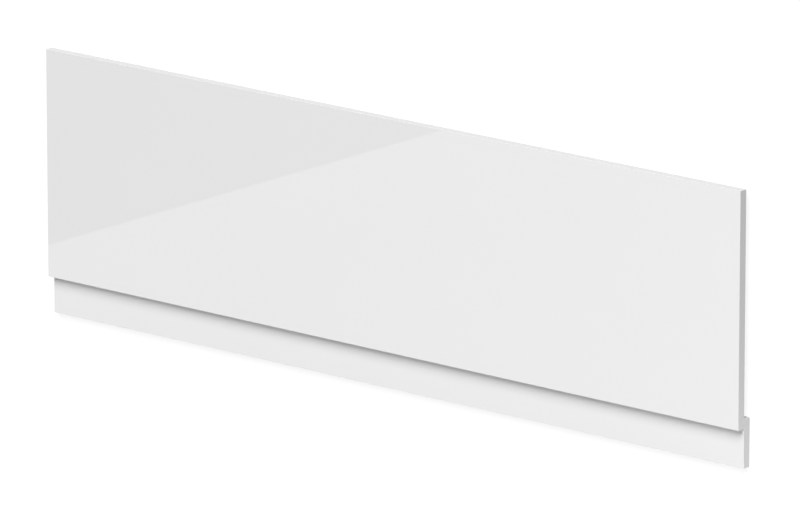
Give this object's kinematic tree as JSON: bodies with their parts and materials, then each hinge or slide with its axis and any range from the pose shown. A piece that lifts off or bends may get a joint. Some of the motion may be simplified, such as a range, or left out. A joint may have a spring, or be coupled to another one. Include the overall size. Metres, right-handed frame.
{
  "type": "bath panel",
  "caption": "Straight bath front panel: a long gloss white board with a low plinth board lapped behind its lower edge, closing the side of a fitted bath.",
  "frame": {"origin": "on the floor under the centre of the footprint, with the boards lying flat and their faces up", "axes": "+X along the bath, +Y across the height towards the edge under the bath rim, +Z out of the faces"},
  "size_m": [1.8, 0.56, 0.036],
  "materials": {
    "gloss_white_board": "gloss",
    "zinc_plated_screw": "satin"
  },
  "bodies": {
    "root": {"main_panel": "gloss_white_board", "plinth": "gloss_white_board"}
  },
  "joints": []
}
